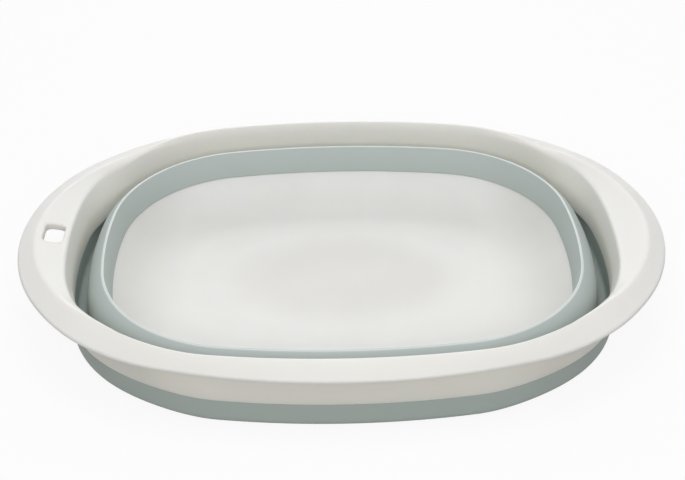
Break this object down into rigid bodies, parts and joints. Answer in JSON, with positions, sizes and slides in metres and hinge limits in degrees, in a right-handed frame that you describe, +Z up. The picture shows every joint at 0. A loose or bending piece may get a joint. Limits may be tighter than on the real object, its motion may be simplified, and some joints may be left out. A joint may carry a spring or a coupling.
{
  "type": "folding washing-up bowl",
  "caption": "Oval folding washing-up bowl, pushed flat: a stiff rim with a ledge handle at each end, a soft wall that folds in zigzag bands, and a stiff dished base pan.",
  "frame": {"origin": "on the floor under the middle of the bowl", "axes": "+X along the bowl, with the hanging hole at the -X end; +Y across it; +Z up"},
  "size_m": [0.375, 0.2716, 0.045],
  "materials": {
    "white_plastic": "satin moulded polypropylene, warm white",
    "grey_green_rubber": "smooth matt thermoplastic rubber, grey-green"
  },
  "bodies": {
    "base": {"base_pan": "white_plastic", "inner_band": "grey_green_rubber"},
    "fold": {"middle_band": "grey_green_rubber"},
    "rim": {"rim": "white_plastic", "outer_band": "grey_green_rubber"}
  },
  "joints": [
    {"name": "unfold", "type": "slide", "parent": "base", "child": "rim", "axis": [0, 0, 1], "range_m": [0, 0.064]},
    {"name": "fold_turn", "type": "slide", "parent": "base", "child": "fold", "axis": [0, 0, 1], "range_m": [0, 0.032]}
  ],
  "couplings": [
    {"joint": "fold_turn", "follows": "unfold", "ratio": 0.5}
  ]
}
